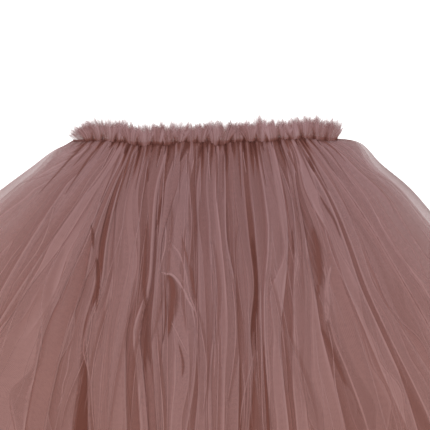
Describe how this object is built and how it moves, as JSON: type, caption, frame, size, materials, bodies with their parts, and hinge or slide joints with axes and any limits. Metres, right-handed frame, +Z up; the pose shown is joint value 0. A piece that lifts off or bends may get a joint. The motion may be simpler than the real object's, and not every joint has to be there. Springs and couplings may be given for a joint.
{
  "type": "skirt",
  "caption": "Gathered tulle skirt with an elastic waist and a ruffled heading, laid flat, with its folds fanning out to a wide hem",
  "frame": {"origin": "on the surface that the skirt lies on, under the middle of its outline", "axes": "+Z up off the surface, +Y from the hem to the waist, +X to the wearer's left as the front is seen from above"},
  "size_m": [0.7021, 0.392, 0.0557],
  "materials": {
    "outer_tulle": "matt sheer net in dusty rose",
    "under_tulle": "matt sheer net, the same rose in shade"
  },
  "bodies": {
    "root": {"front_outer": "outer_tulle", "back_outer": "outer_tulle", "front_under": "under_tulle", "back_under": "under_tulle", "ruffle_front": "outer_tulle", "ruffle_back": "outer_tulle", "waist_elastic": "under_tulle"}
  },
  "joints": []
}
